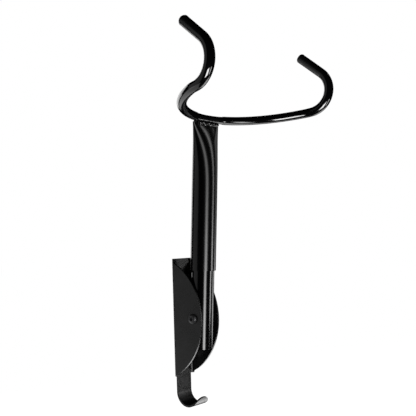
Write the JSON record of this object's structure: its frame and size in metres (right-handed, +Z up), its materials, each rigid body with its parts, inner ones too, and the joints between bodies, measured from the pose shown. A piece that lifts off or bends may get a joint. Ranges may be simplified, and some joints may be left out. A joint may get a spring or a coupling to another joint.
{
  "type": "bicycle wall rack",
  "caption": "Folding wall rack for a bicycle: a sheet-metal wall bracket with a helmet hook, a hinged tube arm and a vinyl-coated rod cradle that holds the frame tube.",
  "frame": {"origin": "on the wall face of the bracket's back plate, midway between its sides and level with the fold pivot", "axes": "+X to the right for a person facing the wall, along the pivot bolt towards its nut; +Y into the wall; +Z up"},
  "size_m": [0.2233, 0.1468, 0.4009],
  "materials": {
    "powder_coat": "satin black powder coat over steel sheet and rod",
    "tube_coat": "glossy black powder coat over steel tube",
    "black_steel": "black oxide",
    "zinc_steel": "bright zinc plating",
    "vinyl": "glossy dipped soft vinyl",
    "nylon": "black moulded nylon"
  },
  "bodies": {
    "bracket": {"wall_bracket": "powder_coat", "pivot_bolt": "black_steel", "friction_washer_left": "nylon", "friction_washer_right": "nylon", "nut_washer": "zinc_steel", "lock_nut": "zinc_steel", "lock_nut_ring": "nylon"},
    "arm": {"inner_tube": "tube_coat", "pivot_bush": "zinc_steel"},
    "cradle": {"outer_tube": "tube_coat", "swivel_screw": "black_steel", "cradle_rod": "powder_coat", "grip_coat_left": "vinyl", "grip_coat_right": "vinyl", "weld_front": "powder_coat", "weld_rear": "powder_coat"}
  },
  "joints": [
    {"name": "fold", "type": "hinge", "parent": "bracket", "child": "arm", "pos_m": [0, -0.0313, 0], "axis": [1, 0, 0], "range_deg": [-7, 29.5]},
    {"name": "swivel", "type": "hinge", "parent": "arm", "child": "cradle", "pos_m": [0, -0.0313, 0], "axis": [0, -0.0645, 0.9979], "range_deg": [-25, 25]}
  ]
}
